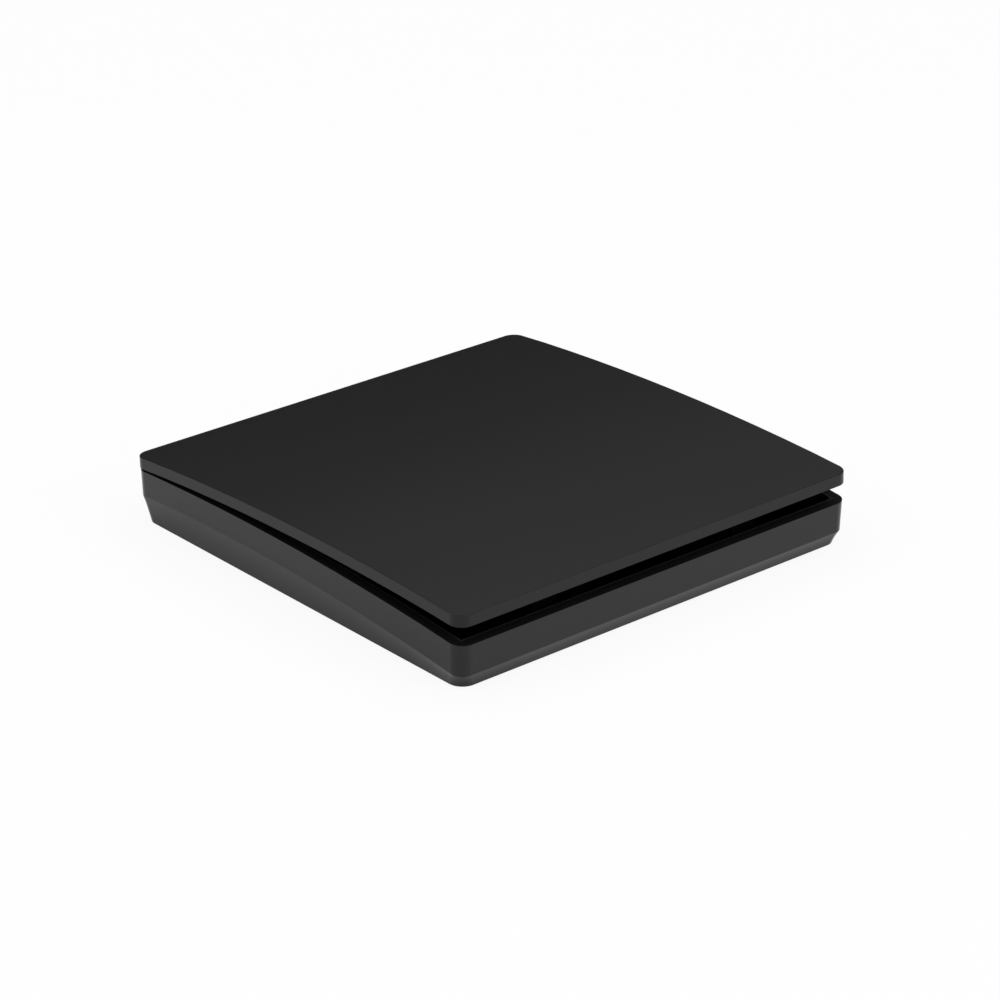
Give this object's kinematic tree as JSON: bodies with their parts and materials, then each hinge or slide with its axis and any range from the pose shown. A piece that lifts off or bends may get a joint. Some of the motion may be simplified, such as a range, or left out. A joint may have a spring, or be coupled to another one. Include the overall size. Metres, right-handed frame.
{
  "type": "wall switch",
  "caption": "Square wall switch: an arched rocker plate tilts on a housing with a coved foot, and each press turns a small generator that powers a radio signal.",
  "frame": {"origin": "centre of the flat back face, on the wall", "axes": "+Z out of the wall through the rocker plate, +X from the hinged edge to the edge that is pressed, +Y along the hinge"},
  "size_m": [0.086, 0.086, 0.0142],
  "materials": {
    "housing_black": "fine matt moulded",
    "plate_black": "fine matt moulded",
    "cover_black": "matt moulded",
    "screw_steel": "zinc plated",
    "frame_grey": "moulded",
    "core_steel": "stamped laminations",
    "bobbin_white": "moulded",
    "winding_copper": "enamelled wire",
    "board_green": "solder mask",
    "chip_black": "moulded package",
    "inductor_grey": "moulded ferrite",
    "crystal_steel": "plated can",
    "capacitor_ochre": "moulded case",
    "antenna_tinned": "tinned wire",
    "bumper_grey": "soft silicone",
    "spring_steel": "bent strip",
    "carrier_white": "moulded",
    "magnet_nickel": "nickel plated",
    "pole_steel": "stamped"
  },
  "bodies": {
    "housing": {"rear_housing": "housing_black", "inner_cover": "cover_black", "cover_screws": "screw_steel", "generator_frame": "frame_grey", "generator_screws": "screw_steel", "laminated_core": "core_steel", "coil_bobbin": "bobbin_white", "coil_winding": "winding_copper", "coil_leads": "winding_copper", "circuit_board": "board_green", "radio_chip": "chip_black", "rectifier": "chip_black", "inductor": "inductor_grey", "crystal": "crystal_steel", "storage_capacitors": "capacitor_ochre", "loop_antenna": "antenna_tinned", "press_bumpers": "bumper_grey", "return_spring_left": "spring_steel", "return_spring_right": "spring_steel"},
    "rocker": {"rocker_plate": "plate_black"},
    "armature": {"magnet_carrier": "carrier_white", "magnet": "magnet_nickel", "upper_pole_plate": "pole_steel", "lower_pole_plate": "pole_steel", "leaf_spring": "spring_steel"}
  },
  "joints": [
    {"name": "rocker_hinge", "type": "hinge", "parent": "housing", "child": "rocker", "pos_m": [-0.0392, 0, 0.008], "axis": [0, 1, 0], "range_deg": [0, 1.8], "stiffness_Nm_per_rad": 3, "springref_deg": -1.72, "deforming": ["return_spring_left", "return_spring_right"]},
    {"name": "armature_flip", "type": "hinge", "parent": "housing", "child": "armature", "pos_m": [0.004, 0, 0.0049], "axis": [0, 1, 0], "range_deg": [0, 6.7]}
  ],
  "couplings": [
    {"joint": "armature_flip", "follows": "rocker_hinge", "ratio": 3.7}
  ]
}
